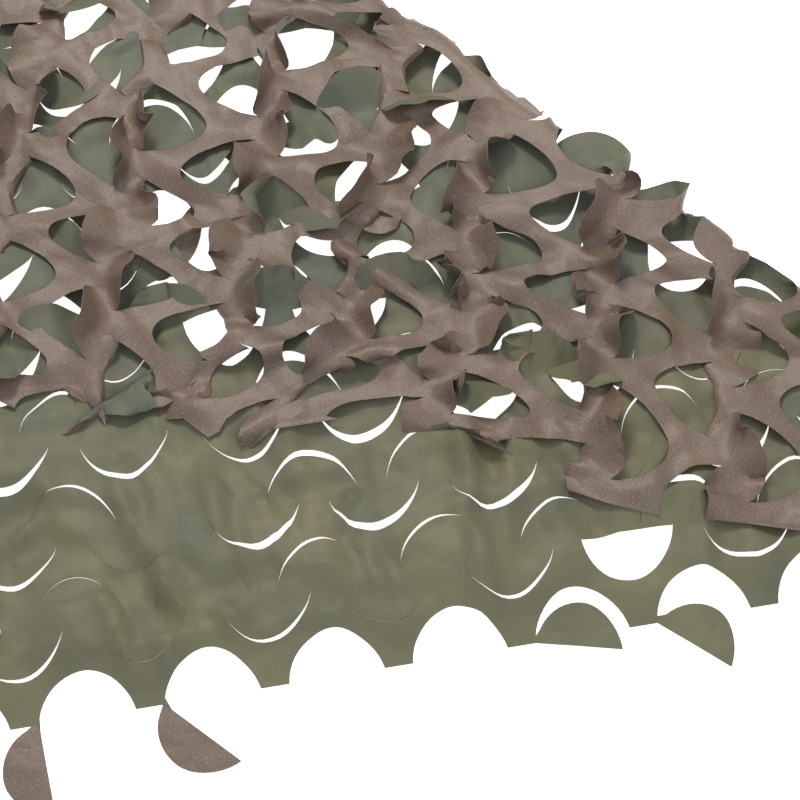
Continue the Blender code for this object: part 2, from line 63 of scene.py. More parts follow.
# how the lower layer lies: its first leaf, and how far apart and which way its leaves and rows run
lowerLayer = {
    "origin": (-0.2550, -0.2872),
    "leafPitch": 0.1033, "leafBearing": 9.8,
    "rowPitch": 0.0845, "rowBearing": 97.9,
    "openPitch": 0.0910, "openFrom": 3.5,  # how far apart the rows run from here on
    "lift": 0.0018,  # how far it stands off the floor, but for its hem
    # how far each row lies back towards the hem, most of all on the left
    "sag": {0: 0.0, 1: 0.0060, 2: 0.0090, 3: 0.0065, 4: 0.0040, 5: 0.0},
    "sagRight": 0.35, "sagLeaves": (2.4, 4.6),  # the part of it left past these leaves
}
# the upper layer is turned over, drawn together along its rows and pulled open across them
upperLayer = {
    "leaf": 5.0, "row": 9.0,  # the leaf and row at its origin
    "origin": (-0.2266, 0.3214),
    "leafPitch": 0.0861, "leafBearing": 263.6,
    "rowPitch": 0.1066, "rowBearing": 172.1,
}
# how the cloth is spread out as it is laid
spread = {
    "part": 0.29,  # the part of a row's slack by which its line and the cloth beside it move apart
    "lineReach": 0.012,  # how far from a row's line the cloth follows it
    # how unevenly the upper layer is pulled open, one way and the other
    "shift": 0.022, "shiftSize": 0.12, "shiftSeeds": (11.3, 23.9),
    "frontReach": 0.13,  # how far from its side edge the upper layer's slip reaches
    # how far the side edge of the upper layer slips forward at each row
    "frontSlip": {3: 0.020, 4: 0.024, 5: 0.020, 6: -0.014, 7: -0.012, 8: -0.030, 9: -0.010, 10: -0.022},
    # and how far it slips sideways
    "frontShift": {3: 0.024, 4: 0.024, 5: 0.018, 6: -0.006, 7: -0.052, 8: -0.024, 9: -0.010, 10: 0.0},
    "tugReach": 0.055, "tugEase": 0.25,  # how far a tug reaches, and how much the cloth holds against it
    "tugRow": 0.1,  # a tug is at this part of a row above the row's line
}
# small tugs on each layer: the row and leaf that each is at, and how far it goes, in mm
lowerTugs = [
    {"row": 3, "leaf": 4.0, "east": 0, "north": -12},
    {"row": 4, "leaf": 1.0, "east": -4, "north": 12},
    {"row": 4, "leaf": 2.0, "east": -11, "north": 5},
    {"row": 4, "leaf": 4.5, "east": 0, "north": -12},
    {"row": 5, "leaf": 1.0, "east": 0, "north": -11},
    {"row": 5, "leaf": 2.0, "east": -11, "north": 8},
    {"row": 5, "leaf": 3.0, "east": -9, "north": 0},
    {"row": 6, "leaf": 1.2, "east": 7, "north": 10},
    {"row": 6, "leaf": 2.0, "east": -18, "north": -4},
    {"row": 7, "leaf": 0.5, "east": -11, "north": -13},
]
upperTugs = [
    {"row": 10, "leaf": 4.5, "east": -7, "north": 19},
    {"row": 10, "leaf": 6.5, "east": -12, "north": 0},
    {"row": 9, "leaf": 4.5, "east": -4, "north": 19},
    {"row": 9, "leaf": 5.2, "east": -2, "north": 13},
    {"row": 9, "leaf": 6.2, "east": -4, "north": -4},
    {"row": 9, "leaf": 7.0, "east": -6, "north": 8},
    {"row": 9, "leaf": 8.0, "east": 10, "north": -2},
    {"row": 8, "leaf": 4.6, "east": -8, "north": 23},
    {"row": 8, "leaf": 5.2, "east": 3, "north": 12},
    {"row": 8, "leaf": 6.2, "east": -3, "north": -5},
    {"row": 8, "leaf": 7.2, "east": -9, "north": 11},
    {"row": 8, "leaf": 8.1, "east": 14, "north": -4},
    {"row": 7, "leaf": 5.0, "east": -6, "north": 12},
    {"row": 7, "leaf": 6.0, "east": -6, "north": -14},
    {"row": 7, "leaf": 7.0, "east": 2, "north": 8},
    {"row": 7, "leaf": 8.2, "east": -3, "north": 2},
    {"row": 6, "leaf": 5.5, "east": -14, "north": 14},
    {"row": 6, "leaf": 6.5, "east": -10, "north": -3},
    {"row": 6, "leaf": 7.5, "east": 0, "north": -4},
    {"row": 6, "leaf": 8.5, "east": -8, "north": 8},
    {"row": 6.5, "leaf": 8.9, "east": -34, "north": 28},
    {"row": 6.1, "leaf": 8.8, "east": -26, "north": 30},
    {"row": 5.7, "leaf": 8.8, "east": -8, "north": 62},
    {"row": 5.0, "leaf": 9.0, "east": 0, "north": -4},
    {"row": 7.2, "leaf": 9.0, "east": 4, "north": -22},
    {"row": 5, "leaf": 6.4, "east": -12, "north": 13},
    {"row": 5, "leaf": 7.2, "east": -3, "north": -2},
    {"row": 5, "leaf": 8.2, "east": 7, "north": 12},
    {"row": 4, "leaf": 7.2, "east": -8, "north": 20},
    {"row": 4, "leaf": 8.2, "east": -2, "north": 10},
]
# the fold, from its near end to its far one: (leaf, row) in the flat cloth, and the place on the floor
fold = {
    "near": (6.50, 3.28), "far": (3.57, 7.00),
    "nearPlace": (0.348, 0.087), "farPlace": (-0.008, 0.384),
    "radius": 0.011, "settle": 0.085,
    "upperReach": 0.07, "lowerReach": 0.05,  # how far from the bend each layer lies by itself
    "leafReach": 0.006,  # a leaf whose middle is this near the bend goes round it with the cloth
}
# where the fold stands out from its line: how far along it, how far out and how wide
foldBumps = [
    {"along": 0.146, "out": 0.029, "width": 0.016},
    {"along": 0.205, "out": -0.006, "width": 0.020},
    {"along": 0.375, "out": 0.010, "width": 0.030},
]
# soft folds that run across each layer, one way and the other
upperFolds = [
    {"bearing": -52.0, "width": 0.042, "length": 0.13, "height": 0.009, "round": 0.012, "seed": 4.6},
    {"bearing": 24.0, "width": 0.034, "length": 0.10, "height": 0.0035, "round": 0.006, "seed": 9.2},
]
lowerFolds = [
    {"bearing": -70.0, "width": 0.030, "length": 0.09, "height": 0.0048, "round": 0.005, "seed": 2.3},
    {"bearing": 16.0, "width": 0.036, "length": 0.10, "height": 0.0036, "round": 0.005, "seed": 6.1},
]
foldDepth = 2.2  # how far the hollows of these folds reach below their backs
# how each layer lies: broad and small swells, which add to its height
lowerSwells = [
    {"height": 0.014, "size": 0.10, "seed": 3.1},
    {"height": 0.0055, "size": 0.042, "seed": 8.4},
]
lowerRest = {
    "height": 0.003,
    "hem": 0.01, "hemReach": 0.06,  # it lies flat from its hem to here, and rises from there
    # how strong the folds in front of the pile are beside those in it, and the row where they change
    "foldsInFront": 1.25, "pileRow": 2.6, "pileReach": 1.2,
    "creases": 2.2, "creaseReach": 3,  # how much its creases stand up, and how many widths each reaches
}
upperSwells = [
    {"height": 0.010, "size": 0.13, "seed": 7.7},
    {"height": 0.004, "size": 0.05, "seed": 1.2},
]
upperRest = {
    "height": 0.015, "least": 0.0045,
    "front": 0.09, "frontHeight": 0.40, "frontFolds": 0.35,  # it lies lower along its front
}
# the upper layer rises and falls from leaf to leaf, more in some places than in others
ridges = {"height": 0.007, "least": 0.5, "change": 0.8, "size": 0.2, "seed": 5.0}
# the upper layer's front is turned back over itself: its rows, where it is deepest, how deep and how round
turnBack = {"from": 8.02, "to": 9.20, "skew": 0.76, "depth": 0.042, "slip": 0.046, "round": 0.0026}
pile = {
    "trimX": -0.400, "trimY": 0.455,  # where the net is cut off plainly, at the left and at the back
    "centre": (0.1227, 0.0424),  # the middle of its box, which moves to the origin
    "mid": 0.0006,  # how high the middle of the cloth lies where it is on the floor
    "apart": 0.006,  # how far the upper layer is laid above the lower one
}


def direction(bearing):
    return Vector((math.cos(math.radians(bearing)), math.sin(math.radians(bearing))))


def smooth(x):
    x = min(max(x, 0.0), 1.0)
    return x * x * (3 - 2 * x)


def scatter(row, leaf, side, kind):
    # a steady number from 0 to 1 for one leaf
    x = math.sin(row * 12.99 + leaf * 78.23 + side * 37.72 + kind * 5.37) * 43758.5453
    return x - math.floor(x)


def swell(x, y, size, seed):
    return noise.noise(Vector((x / size, y / size, seed)))


def swells(x, y, kinds, height):
    return sum((kind["height"] * swell(x, y, kind["size"], kind["seed"]) for kind in kinds), height)


foldNear = Vector((fold["near"][0] * leafPitch, fold["near"][1] * rowPitch))
foldFar = Vector((fold["far"][0] * leafPitch, fold["far"][1] * rowPitch))
foldRun = (foldFar - foldNear).length
foldAlong = (foldFar - foldNear) / foldRun
foldPast = Vector((foldAlong.y, -foldAlong.x))
foldHalf = fold["radius"] * math.pi / 2  # half the cloth that the bend takes
foldStart = Vector(fold["nearPlace"])
foldStep = (Vector(fold["farPlace"]) - foldStart) / foldRun
foldOut = Vector((foldStep.y, -foldStep.x)).normalized()


def pastFold(u, v):
    return (Vector((u, v)) - foldNear).dot(foldPast)


# how it lies: a place in the flat cloth becomes a place on the floor
def rowRise(layer, row):
    if layer is upperLayer:
        return (row - layer["row"]) * layer["rowPitch"]
    tight = min(row, layer["openFrom"])
    return tight * layer["rowPitch"] + (row - tight) * layer["openPitch"]


def onFloor(layer, u, rise):
    leaf = u / leafPitch - layer.get("leaf", 0.0)
    place = Vector(layer["origin"]) + direction(layer["leafBearing"]) * leaf * layer["leafPitch"]
    return place + direction(layer["rowBearing"]) * rise


def chordRise(layer, u, row):
    # a row's line: the necks pull it down at its upper leaves and up at its lower ones
    slack = rowRise(layer, row + 0.5) - rowRise(layer, row - 0.5) - rowPitch
    return rowRise(layer, row) - slack * spread["part"] * math.cos(2 * math.pi * u / leafPitch)


def webRise(layer, u, v):
    # the cloth between two rows of leaves
    row = v / rowPitch
    lower = math.floor(row)
    slack = rowRise(layer, lower + 1) - rowRise(layer, lower) - rowPitch
    middle = (rowRise(layer, lower) + rowRise(layer, lower + 1)) / 2
    rise = middle + slack * spread["part"] * math.cos(2 * math.pi * u / leafPitch)
    rise += (row - lower - 0.5) * rowPitch
    nearRow = round(row)
    offLine = v - nearRow * rowPitch
    blend = smooth(abs(offLine) / spread["lineReach"])
    return rise * blend + (chordRise(layer, u, nearRow) + offLine) * (1 - blend)


# soft creases in the lower layer: where each starts and ends on the floor, how high it is and how wide
creases = [
    {"start": (-0.120, -0.080), "end": (-0.098, -0.119), "height": 0.0030, "width": 0.0040},
    {"start": (-0.201, -0.170), "end": (-0.176, -0.199), "height": 0.0040, "width": 0.0070},
    {"start": (-0.195, -0.161), "end": (-0.137, -0.203), "height": 0.0030, "width": 0.0120},
    {"start": (-0.248, -0.182), "end": (-0.230, -0.209), "height": 0.0030, "width": 0.0080},
    {"start": (-0.239, -0.209), "end": (-0.222, -0.242), "height": 0.0030, "width": 0.0060},
    {"start": (-0.053, -0.112), "end": (-0.041, -0.085), "height": 0.0040, "width": 0.0060},
    {"start": (-0.321, -0.122), "end": (-0.305, -0.105), "height": 0.0030, "width": 0.0060},
    {"start": (0.052, -0.038), "end": (0.060, -0.094), "height": 0.0060, "width": 0.0100},
    {"start": (0.091, -0.019), "end": (0.096, -0.094), "height": 0.0050, "width": 0.0120},
    {"start": (0.066, -0.135), "end": (0.070, -0.195), "height": 0.0040, "width": 0.0120},
    {"start": (-0.084, -0.149), "end": (-0.017, -0.162), "height": 0.0030, "width": 0.0100},
]


def creaseHeight(x, y):
    height = 0.0
    for crease in creases:
        start, end = Vector(crease["start"]), Vector(crease["end"])
        run = end - start
        off = Vector((x, y)) - start
        along = min(max(off.dot(run) / run.length_squared, 0.0), 1.0)
        away = (off - run * along).length / crease["width"]
        if away < lowerRest["creaseReach"]:
            height += crease["height"] * math.exp(-away * away)
    return height


def folds(x, y, kinds):
    # long soft folds, with sharper backs than hollows
    height = 0.0
    for kind in kinds:
        along = direction(kind["bearing"])
        run = Vector((x, y)).dot(along)
        over = Vector((x, y)).dot(Vector((-along.y, along.x)))
        wave = noise.noise(Vector((over / kind["width"], run / kind["length"], kind["seed"])))
        height += kind["height"] * (1 - foldDepth * math.sqrt(wave * wave + kind["round"]))
    return height


def eased(least, part):
    return least + (1 - least) * part


def lowerHeight(x, y):
    rest = lowerRest
    off = (Vector((x, y)) - Vector(lowerLayer["origin"])).dot(direction(lowerLayer["rowBearing"]))
    inPile = smooth((off / rowPitch - rest["pileRow"]) / rest["pileReach"])
    wave = swells(x, y, lowerSwells, 0.0)
    wave += folds(x, y, lowerFolds) * eased(rest["foldsInFront"], inPile)
    height = max(0.0, wave + rest["height"]) + lowerLayer["lift"] + rest["creases"] * creaseHeight(x, y)
    return height * smooth((off - rest["hem"]) / rest["hemReach"])


def upperHeight(x, y, u):
    rest = upperRest
    front = smooth((sideEdge - u) / rest["front"])
    height = swells(x, y, upperSwells, rest["height"]) * eased(rest["frontHeight"], front)
    return max(rest["least"], height) + folds(x, y, upperFolds) * eased(rest["frontFolds"], front)


def warp(x, y):
    size = spread["shiftSize"]
    return Vector([swell(x, y, size, seed) for seed in spread["shiftSeeds"]]) * spread["shift"]


def tugged(tugs, u, v):
    # the pull of the tugs near one point of the cloth
    total, weight = Vector((0.0, 0.0)), spread["tugEase"]
    for tug in tugs:
        off = Vector((u - tug["leaf"] * leafPitch, v - (tug["row"] + spread["tugRow"]) * rowPitch))
        near = math.exp(-off.length_squared / spread["tugReach"] ** 2)
        total += Vector((tug["east"], tug["north"])) * near / 1000
        weight += near
    return total / weight


def byRow(values, row):
    row = min(max(row, min(values)), max(values))
    lower = min(math.floor(row), max(values) - 1)
    part = smooth(row - lower)
    return values[lower] * (1 - part) + values[lower + 1] * part


def sag(u, v):
    first, last = lowerLayer["sagLeaves"]
    right = smooth((u / leafPitch - first) / (last - first))
    return byRow(lowerLayer["sag"], v / rowPitch) * (1 - right * (1 - lowerLayer["sagRight"]))


def bumpOut(run):
    return sum(bump["out"] * math.exp(-((run - bump["along"]) / bump["width"]) ** 2) for bump in foldBumps)


def backPart(v):
    part = (v / rowPitch - turnBack["from"]) / (turnBack["to"] - turnBack["from"])
    return math.sin(math.pi * part ** turnBack["skew"]) if 0 < part < 1 else 0.0


def turnedBack(u, v):
    # which point of the flat cloth a point of the turned-back front lies over, and how far above it
    line = sideEdge - turnBack["depth"] * backPart(v)
    turn = max(0.0, u - line) / turnBack["round"]
    bend = min(turn, math.pi)
    over = line + turnBack["round"] * (math.sin(bend) - (turn - bend))
    return (over if turn > 0 else u), turnBack["round"] * (1 - math.cos(bend))


def lay(u, v, riseOf):
    # the place of one point of the cloth's middle surface
    u, above = turnedBack(u, v)
    past = pastFold(u, v)
    layer = upperLayer if past > 0 else lowerLayer
    side = 1 if past > 0 else -1
    away = abs(past)
    intoBend = max(0.0, foldHalf - away)
    clear = Vector((u, v)) + foldPast * side * intoBend
    root = Vector((u, v)) - foldPast * (past - side * foldHalf)
    run = (root - foldNear).dot(foldAlong)
    meet = foldStart + foldStep * run + foldOut * bumpOut(run)
    level = onFloor(layer, root.x, rowRise(layer, root.y / rowPitch))
    pull = math.exp(-max(0.0, away - foldHalf) / fold["settle"])
    place = onFloor(layer, clear.x, riseOf(layer, clear.x, clear.y)) + (meet - level) * pull
    x, y = place
    if layer is upperLayer:
        settle = smooth((away - foldHalf) / fold["upperReach"])
        z = 2 * fold["radius"] * (1 - settle) + upperHeight(x, y, u) * settle
        uneven = ridges["least"] + ridges["change"] * swell(x, y, ridges["size"], ridges["seed"])
        z += ridges["height"] * settle * math.cos(2 * math.pi * u / leafPitch) * uneven
        place += warp(x, y) * settle
        toFront = smooth((u - sideEdge) / spread["frontReach"] + 1)
        slip = byRow(spread["frontSlip"], v / rowPitch) + turnBack["slip"] * backPart(v)
        place += direction(layer["leafBearing"]) * slip * toFront
        place -= direction(layer["rowBearing"]) * byRow(spread["frontShift"], v / rowPitch) * toFront
        place += tugged(upperTugs, u, v) * settle
        z += (max(z, lowerHeight(place.x, place.y) + pile["apart"]) - z) * settle
    else:
        settle = smooth((away - foldHalf) / fold["lowerReach"])
        z = lowerHeight(x, y) * settle
        place -= direction(layer["rowBearing"]) * sag(u, v) * settle
        place += tugged(lowerTugs, u, v) * settle
    if intoBend > 0:
        turn = math.pi / 2 + side * (math.pi / 2 - intoBend / fold["radius"])
        place += foldOut * fold["radius"] * math.sin(turn)
        z = fold["radius"] * (1 - math.cos(turn))
    return Vector((place.x, place.y, z + above + pile["mid"]))


# loose leaves along the hem, each held by its left corner: how far its straight side has swung round
hemLeaves = {
    0: {"swing": -86.0, "over": True, "size": (1.0, 0.90)},
    1: {"swing": -46.5, "over": True, "size": (1.0, 0.85)},
    4: {"swing": -14.5, "over": False, "size": (0.90, 0.96)},
    5: {"swing": -43.0, "over": False, "size": (0.88, 0.93)},
}
hemNeck = math.radians(10)  # the part of its round edge by which a loose leaf still hangs on
hemLift = 0.003

# how steeply a leaf rises from its straight side, and how much further it turns by its tip
leafPoses = {
    "-": {"left": 0.0, "right": 0.0, "lift": 0.0004},  # shut
    "t": {"left": 0.025, "right": 0.025, "lift": 0.0010},  # hardly open
    "r": {"left": 0.0, "right": 0.12, "lift": 0.0015},  # open on its right
    "l": {"left": 0.12, "right": 0.0, "lift": 0.0015},  # open on its left
    "a": {"left": 0.09, "right": 0.09, "lift": 0.0020},  # ajar
    "w": {"left": 0.13, "right": 0.18, "lift": 0.0030},  # wide open, though flat
    "q": {"left": 0.01, "right": 0.23, "lift": 0.0025},  # wide open on its right
    "O": {"left": 0.12, "right": 0.38, "lift": 0.0040},  # gaping on its right
    "C": {"left": 0.45, "right": 0.05, "lift": 0.0040},  # gaping on its left
    "Z": {"beyond": 0.002},  # left lying flat beyond the fold
    "P": {"rise": 0.04, "curl": -0.05},  # pressed flat
    "V": {"rise": 1.25, "riseEnd": 0.05, "curl": 0.10},  # lifted at its far end
    "N": {"rise": 0.10, "riseEnd": 1.20, "curl": 0.10},  # lifted at its near end
    "A": {"rise": 0.10, "curl": 0.15},  # nearly flat
    "F": {"rise": 0.22, "curl": -0.50},  # flat
    "L": {"rise": 0.50, "curl": 0.10},  # lifted
    "H": {"rise": 0.85, "curl": 0.30},  # half up
    "S": {"rise": 1.30, "curl": 0.15},  # standing
    "R": {"rise": 0.50, "curl": 3.60},  # rolled up
    "D": {"rise": -0.35, "curl": -0.20},  # drooping
    "T": {"tuck": 0.006},  # tucked under
    "U": {"tuck": 0.0009},  # tucked flat under the lower layer
}
# each row of the upper layer, leaf by leaf from leaf 3 in half steps
upperLeaves = {
    3: "TTTTTTTTTHTTPT",
    4: "TTTTTTSTSDTVPP",
    5: "TTTTTRHHHHHVPP",
    6: "TTFRFHHHHNLHPP",
    7: "TTFTTLSTTHHTPP",
    8: "SSFSSHNRLHTTPP",
    9: "TTDTTSSVLHHTPP",
    10: "TTTTFSSTSTHTPP",
}
# the same for the lower layer, from leaf -0.5
lowerLeaves = {
    1: "rt--rl-lrlUwaa",
    2: "ar--qwwlq--aqt",
    3: "waa-rAwrLLLttAA",
    4: "LAtLULULltwAUt",
    5: "AAtUULLUataZ",
    6: "tArAqUALLA",
    7: "AAOCUAUAA",
    8: "tALAUL",
}
tuckTurn = math.radians(168)
leafFlat = 0.008  # the part of an upper leaf by its straight side that stays level with the cloth
leafTwist = 0.9  # how much more one side of an upper leaf may rise than the other
straight = 1e-6  # a leaf that curls less than this isn't curled
shutShare = 0.45  # the part of the lower leaves with no letter that are nearly shut
tangent = 0.002  # the step by which the slope of the cloth is measured


def leafCentre(leaf, row):
    return Vector((leaf * leafPitch, row * rowPitch))


def letter(table, row, leaf, first):
    letters = table.get(row, "")
    at = round(2 * (leaf - first))
    return letters[at] if 0 <= at < len(letters) else None


def leafPose(row, leaf):
    if pastFold(*leafCentre(leaf, row)) > 0:
        return leafPoses[letter(upperLeaves, row, leaf, 3) or "F"]
    other = "t" if scatter(row, leaf, 1, 1) < shutShare else "L"
    return leafPoses[letter(lowerLeaves, row, leaf, -0.5) or other]


def leafCurve(pose, height, twist, flat):
    # how far out from its straight side, and how far up, a point of a leaf lies
    if flat > 0:
        out, up = leafCurve(pose, max(0.0, height - flat), twist, 0.0)
        return out + min(height, flat), up
    if "tuck" in pose:
        bend = tuckTurn * pose["tuck"]
        turn = min(height, bend) / pose["tuck"]
        rest = max(0.0, height - bend)
        out = pose["tuck"] * math.sin(turn) + rest * math.cos(turn)
        return out, -pose["tuck"] * (1 - math.cos(turn)) - rest * math.sin(turn)
    turn = pose["curl"] / leafRadius
    rise = pose["rise"] + twist
    if abs(turn) < straight:
        return height * math.cos(rise), height * math.sin(rise)
    tip = rise + turn * height
    return (math.sin(tip) - math.sin(rise)) / turn, (math.cos(rise) - math.cos(tip)) / turn


def layBeyond(u, v, row, leaf, pose):
    # the leaf stays on the floor where the cloth round it turns back
    centre = leafCentre(leaf, row)
    before = centre - foldPast * (pastFold(*centre) + foldHalf)

    def level(u, v):
        return onFloor(lowerLayer, u, chordRise(lowerLayer, u, row) + v - centre.y)

    x, y = level(u, v) + lay(before.x, before.y, webRise).xy - level(before.x, before.y)
    return Vector((x, y, pile["mid"] + pose["beyond"]))


def layLeaf(u, v, row, leaf, side):
    # a leaf bends about its straight side and not with the cloth round it
    centre = leafCentre(leaf, row)
    past = pastFold(*centre)
    if past < foldHalf and "beyond" in leafPose(row, leaf):
        return layBeyond(u, v, row, leaf, leafPose(row, leaf))

    def alongLine(layer, u, v):
        return chordRise(layer, u, row) + v - centre.y

    if abs(past) < foldHalf + fold["leafReach"]:
        return lay(u, v, alongLine)
    layer = upperLayer if past > 0 else lowerLayer
    pose = leafPose(row, leaf)
    height = side * (v - centre.y)
    root = lay(u, centre.y, alongLine)
    if "lift" in pose:
        # it lies in the cloth round it, short of the edge of its hole on one side or both
        part = smooth((u - centre.x) / (2 * leafRadius) + 0.5)
        short = pose["left"] * (1 - part) + pose["right"] * part
        place = root.lerp(lay(u, v, webRise), 1 - short)
        place.z += pose["lift"] * smooth(height / leafRadius)
        return place
    along = lay(u + tangent, centre.y, alongLine) - lay(u - tangent, centre.y, alongLine)
    across = lay(u, centre.y + tangent, alongLine) - lay(u, centre.y - tangent, alongLine)
    face = along.cross(across).normalized()
    if layer is upperLayer:
        face.negate()
    twist = 0.0
    if "riseEnd" in pose:
        twist = (pose["riseEnd"] - pose["rise"]) * smooth((u - centre.x) / (2 * leafRadius) + 0.5)
    elif layer is upperLayer and "tuck" not in pose:
        twist = (scatter(row, leaf, side, 6) - 0.5) * leafTwist * (u - centre.x) / leafRadius
    out, up = leafCurve(pose, height, twist, leafFlat if layer is upperLayer else 0.0)
    place = root + across.normalized() * side * out + face * up
    place.z = max(place.z, pile["mid"])
    return place


def layHemLeaf(u, v, leaf):
    # a loose leaf lies on the floor, swung about its left corner, or turned over about a line through it
    held = hemLeaves[leaf]
    corner = Vector((leaf * leafPitch - leafRadius, 0.0))
    at = lay(corner.x, 0.0, lambda layer, u, v: chordRise(layer, u, 0) + v)
    off = Vector(((u - corner.x) * held["size"][0], v * held["size"][1]))
    bearing = math.degrees(math.atan2(off.y, off.x))
    if held["over"]:
        bearing = -bearing
    place = at.xy + direction(lowerLayer["leafBearing"] + held["swing"] + bearing) * off.length
    lift = hemLift * smooth(off.length / leafRadius) * scatter(0, leaf, 1, 4)
    return Vector((place.x, place.y, lift + pile["mid"]))


# the flat cloth is cut up into small triangles
def drawnIn(x, part):
    # the sides of a leaf draw in towards its tip, the right one more
    return x * (1 - part * (cut["narrowRight"] if x > 0 else cut["narrowLeft"]))


def roundDistance(off):
    # how far a point is from a leaf's middle, measured so that its round edge is at the leaf's radius
    part = min(abs(off.y) / leafRadius, 1.0)
    return math.hypot(off.x * off.x / drawnIn(off.x, part) if off.x else 0.0, off.y)


def leafOutline(row, leaf, side):
    # round edge from the left corner to the right one, and back along the straight side
    centre = leafCentre(leaf, row)
    turns = [math.pi * step / cut["arcSteps"] for step in range(1, cut["arcSteps"])]
    roundEdge = [
        Vector((drawnIn(-math.cos(turn), math.sin(turn)), side * math.sin(turn))) * leafRadius
        for turn in turns
    ]
    outline = [Vector((-leafRadius, 0)), *roundEdge, Vector((leafRadius, 0))]
    step = leafPitch / cut["chordParts"]
    reach = leafRadius - cut["chordClear"] * step
    first = math.ceil((centre.x - reach) / step)
    last = math.floor((centre.x + reach) / step)
    outline += [Vector((n * step - centre.x, 0)) for n in range(last, first - 1, -1)]
    return [centre + point for point in outline]


def allLeaves():
    # the hem is cut along a row's line, so that row has upper leaves only
    for row in range(cut["rows"]):
        for leaf in range(cut["firstLeaf"], cut["lastLeaf"]):
            yield row, leaf, 1
            if row > 0:
                yield row, leaf + 0.5, -1


def nearCut(u, v, gap):
    lower = math.floor(v / rowPitch)
    for row in (lower, lower + 1):
        if row >= cut["rows"]:
            continue
        for leaf, side in ((round(u / leafPitch), 1), (math.floor(u / leafPitch) + 0.5, -1)):
            if row == 0 and side < 0:
                continue
            off = Vector((u, v)) - leafCentre(leaf, row)
            if off.length > leafRadius + gap:
                continue
            if abs(off.y) < gap or (abs(roundDistance(off) - leafRadius) < gap and off.y * side > 0):
                return True
    return False


def freePoints():
    # points between the cuts, on a staggered grid, kept clear of every cut
    grid = cut["grid"]
    gap = cut["gridClear"] * grid
    rise = grid * math.sqrt(3) / 2
    for i in range(1, int(cut["rows"] * rowPitch / rise)):
        for j in range(1, int((sideEdge - cut["leftEnd"]) / grid)):
            u, v = cut["leftEnd"] + (j + 0.5 * (i % 2)) * grid, i * rise
            if u < sideEdge - gap and not nearCut(u, v, gap):
                yield Vector((u, v))


def flatPattern():
    # triangles of the flat cloth with its cuts in it, and for each the leaf that it is part of
    leaves = list(allLeaves())
    top = cut["rows"] * rowPitch
    left = cut["leftEnd"]
    points = [Vector(corner) for corner in ((left, 0.0), (sideEdge, 0.0), (sideEdge, top), (left, top))]
    faces = [[0, 1, 2, 3]]
    for leaf in leaves:
        first = len(points)
        points += leafOutline(*leaf)
        faces.append(list(range(first, len(points)))[::-leaf[2]])
    points += list(freePoints())
    made, _, tris, _, _, sources = delaunay_2d_cdt(points, [], faces, 0, cut["samePoint"])
    kept = []
    for tri, source in zip(tris, sources):
        if 0 in source:
            ofLeaves = [n - 1 for n in source if n > 0]
            kept.append((tri, leaves[ofLeaves[0]] if ofLeaves else None))
    return made, kept


def clothSurface():
    # the cloth's middle surface where it lies, with each cut a real gap
    made, kept = flatPattern()
    print("flat pattern", len(made), "points", len(kept), "triangles")
    mesh = bmesh.new()
    flat = mesh.verts.layers.float_vector.new("flat")
    loose = mesh.verts.layers.float.new("loose")  # 1 on the leaves
    corners = {}

    def vertex(n, leaf):
        u, v = made[n]
        if leaf is not None:
            row = leaf[0]
            onLine = abs(v - row * rowPitch) < cut["sameLine"]
            off = Vector((u, v)) - leafCentre(leaf[1], row)
            turn = math.pi - math.atan2(off.y, off.x)
            onEdge = roundDistance(off) > leafRadius - cut["sameEdge"]
            held = row == 0 and onEdge and turn < hemNeck
            if (onLine and row > 0) or held:
                leaf = None
        key = (n, leaf)
        if key not in corners:
            if leaf is None:
                place = lay(u, v, webRise)
            elif leaf[0] == 0:
                place = layHemLeaf(u, v, leaf[1])
            else:
                place = layLeaf(u, v, *leaf)
            corners[key] = mesh.verts.new(place)
            corners[key][flat] = (u, v, 0.0)
            corners[key][loose] = 0.0 if leaf is None else 1.0
        return corners[key]

    for tri, leaf in kept:
        if leaf is not None and leaf[0] == 0 and leaf[1] not in hemLeaves:
            continue
        face = [vertex(n, leaf) for n in tri]
        if len(set(face)) == 3:
            mesh.faces.new(face)
    return mesh


def trim(mesh):
    # cuts the pile off plainly on the left and at the back, and drops the scraps that this frees
    for at, out in (((pile["trimX"], 0, 0), (-1, 0, 0)), ((0, pile["trimY"], 0), (0, 1, 0))):
        everything = mesh.verts[:] + mesh.edges[:] + mesh.faces[:]
        bmesh.ops.bisect_plane(
            mesh, geom=everything, dist=cut["sameLine"], plane_co=at, plane_no=out, clear_outer=True
        )
    unseen = set(mesh.verts)
    groups = []
    while unseen:
        group, edge = set(), [unseen.pop()]
        while edge:
            vert = edge.pop()
            group.add(vert)
            near = {e.other_vert(vert) for e in vert.link_edges if e.link_faces} & unseen
            unseen -= near
            edge += near
        groups.append(group)
    groups.sort(key=len)
    scraps = [vert for group in groups[:-1] for vert in group]
    bmesh.ops.delete(mesh, geom=scraps, context="VERTS")


# the finish of each face of the cloth
greenFinish = {
    "colour": (0.156, 0.139, 0.075), "shade": (0.102, 0.103, 0.063), "fleck": (0.200, 0.200, 0.150),
    # the pile's colours: the green is painted darker and bluer there, as painted shade under the upper
    # layer and a painted reflection of the bluish sky
    "shadedPileColour": (0.125, 0.121, 0.074), "shadedPileShade": (0.095, 0.102, 0.074),
    "roughness": 0.56, "specular": 0.32, "speckle": 0.12, "fleckShare": 0.20, "bump": 0.12,
}
brownFinish = {
    "colour": (0.159, 0.102, 0.070), "shade": (0.132, 0.083, 0.058), "fleck": (0.330, 0.270, 0.255),
    # the pile's colours: the brown is painted almost as it is at the hem
    "shadedPileColour": (0.162, 0.105, 0.072), "shadedPileShade": (0.130, 0.083, 0.058),
    "roughness": 0.48, "specular": 0.50, "speckle": 0.26, "fleckShare": 0.54, "bump": 0.26,
}
